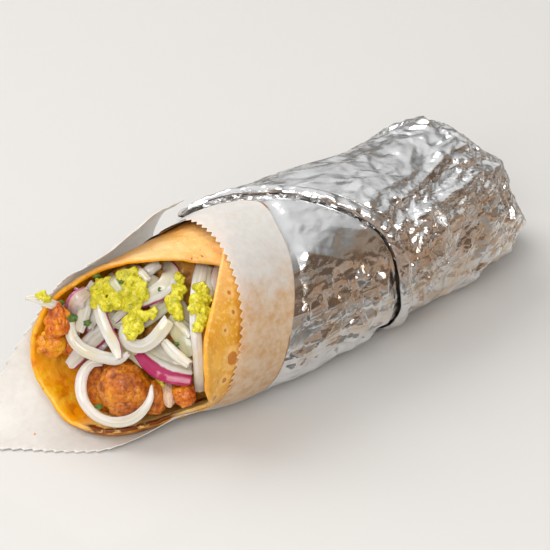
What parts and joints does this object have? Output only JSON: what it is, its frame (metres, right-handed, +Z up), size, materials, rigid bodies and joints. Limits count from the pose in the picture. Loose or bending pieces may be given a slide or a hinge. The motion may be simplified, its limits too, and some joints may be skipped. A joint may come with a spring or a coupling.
{
  "type": "kati roll",
  "caption": "Flatbread rolled round kebab, chicken, onion slices and green chutney, open at one end, in a waxed paper band and crumpled foil.",
  "frame": {"origin": "on the table, straight below the roll's axis where the foil rests flat", "axes": "+X along the roll towards the crushed foil tail, the open mouth faces -X; +Y to the far side, where the loose paper stands; +Z up"},
  "size_m": [0.268, 0.0834, 0.0754],
  "materials": {
    "bread": "griddled flatbread, golden with browned spots",
    "chicken": "orange spiced chicken, glossy",
    "chutney": "thick green chutney, glossy",
    "filling": "spiced meat and sauce, packed",
    "foil": "bright household aluminium foil, crumpled",
    "kebab": "browned minced kebab, glossy",
    "onion": "moist raw white onion",
    "onion_purple": "moist raw red onion",
    "paper": "translucent waxed deli paper"
  },
  "bodies": {
    "root": {"chicken_left_inner": "chicken", "chicken_left_lower": "chicken", "chicken_left_upper": "chicken", "chicken_right": "chicken", "chicken_right_pale": "chicken", "chutney_drip": "chutney", "chutney_left": "chutney", "chutney_low": "chutney", "chutney_middle": "chutney", "chutney_right": "chutney", "chutney_tip": "chutney", "filling_core": "filling", "foil_wrap": "foil", "kebab_behind": "kebab", "kebab_front": "kebab", "kebab_right": "kebab", "onion_arc_left": "onion", "onion_arc_middle": "onion", "onion_bit_right": "onion", "onion_over_lip": "onion", "onion_petal_left": "onion", "onion_petal_low": "onion", "onion_petal_top": "onion", "onion_ring_front": "onion", "onion_sliver": "onion", "onion_strip_behind": "onion", "onion_strip_hanging": "onion", "onion_strip_pink": "onion", "onion_strip_roof": "onion", "onion_strip_short": "onion", "onion_strip_thin": "onion", "onion_strip_white": "onion", "onion_wedge_purple": "onion_purple", "onion_wide_right": "onion", "paper_wrap": "paper", "paratha": "bread"}
  },
  "joints": []
}
